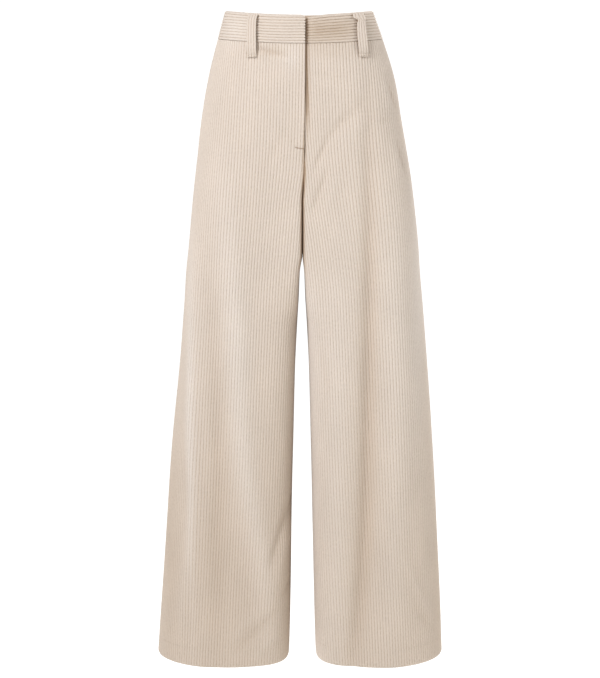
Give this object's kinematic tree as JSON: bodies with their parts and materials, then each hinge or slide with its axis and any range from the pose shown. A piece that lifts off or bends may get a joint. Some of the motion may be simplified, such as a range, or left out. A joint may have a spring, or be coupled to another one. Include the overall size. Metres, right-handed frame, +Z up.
{
  "type": "wide-leg corduroy trousers, filled out as worn",
  "caption": "High-waisted wide-leg trousers in jumbo corduroy, hollow and filled out as worn, with a flat lapped fly front, belt loops and side pocket mouths.",
  "frame": {"origin": "middle of the open waist, level with the waistband's highest points, which are at the sides", "axes": "+Z up, -Y to the front, +X to the wearer's left"},
  "size_m": [0.4938, 0.241, 1.108],
  "materials": {
    "corduroy": "matt pale beige jumbo corduroy, cut pile with a soft sheen"
  },
  "bodies": {
    "root": {"front_right_hip": "corduroy", "front_right_leg": "corduroy", "front_left_hip": "corduroy", "front_left_leg": "corduroy", "back_right_hip": "corduroy", "back_right_leg": "corduroy", "back_left_hip": "corduroy", "back_left_leg": "corduroy", "waistband_right": "corduroy", "waistband_left": "corduroy", "pocket_facing_right": "corduroy", "pocket_facing_left": "corduroy", "belt_loop_front_right": "corduroy", "belt_loop_front_left": "corduroy", "belt_loop_back_right": "corduroy", "belt_loop_back_left": "corduroy", "belt_loop_back_middle": "corduroy"}
  },
  "joints": []
}
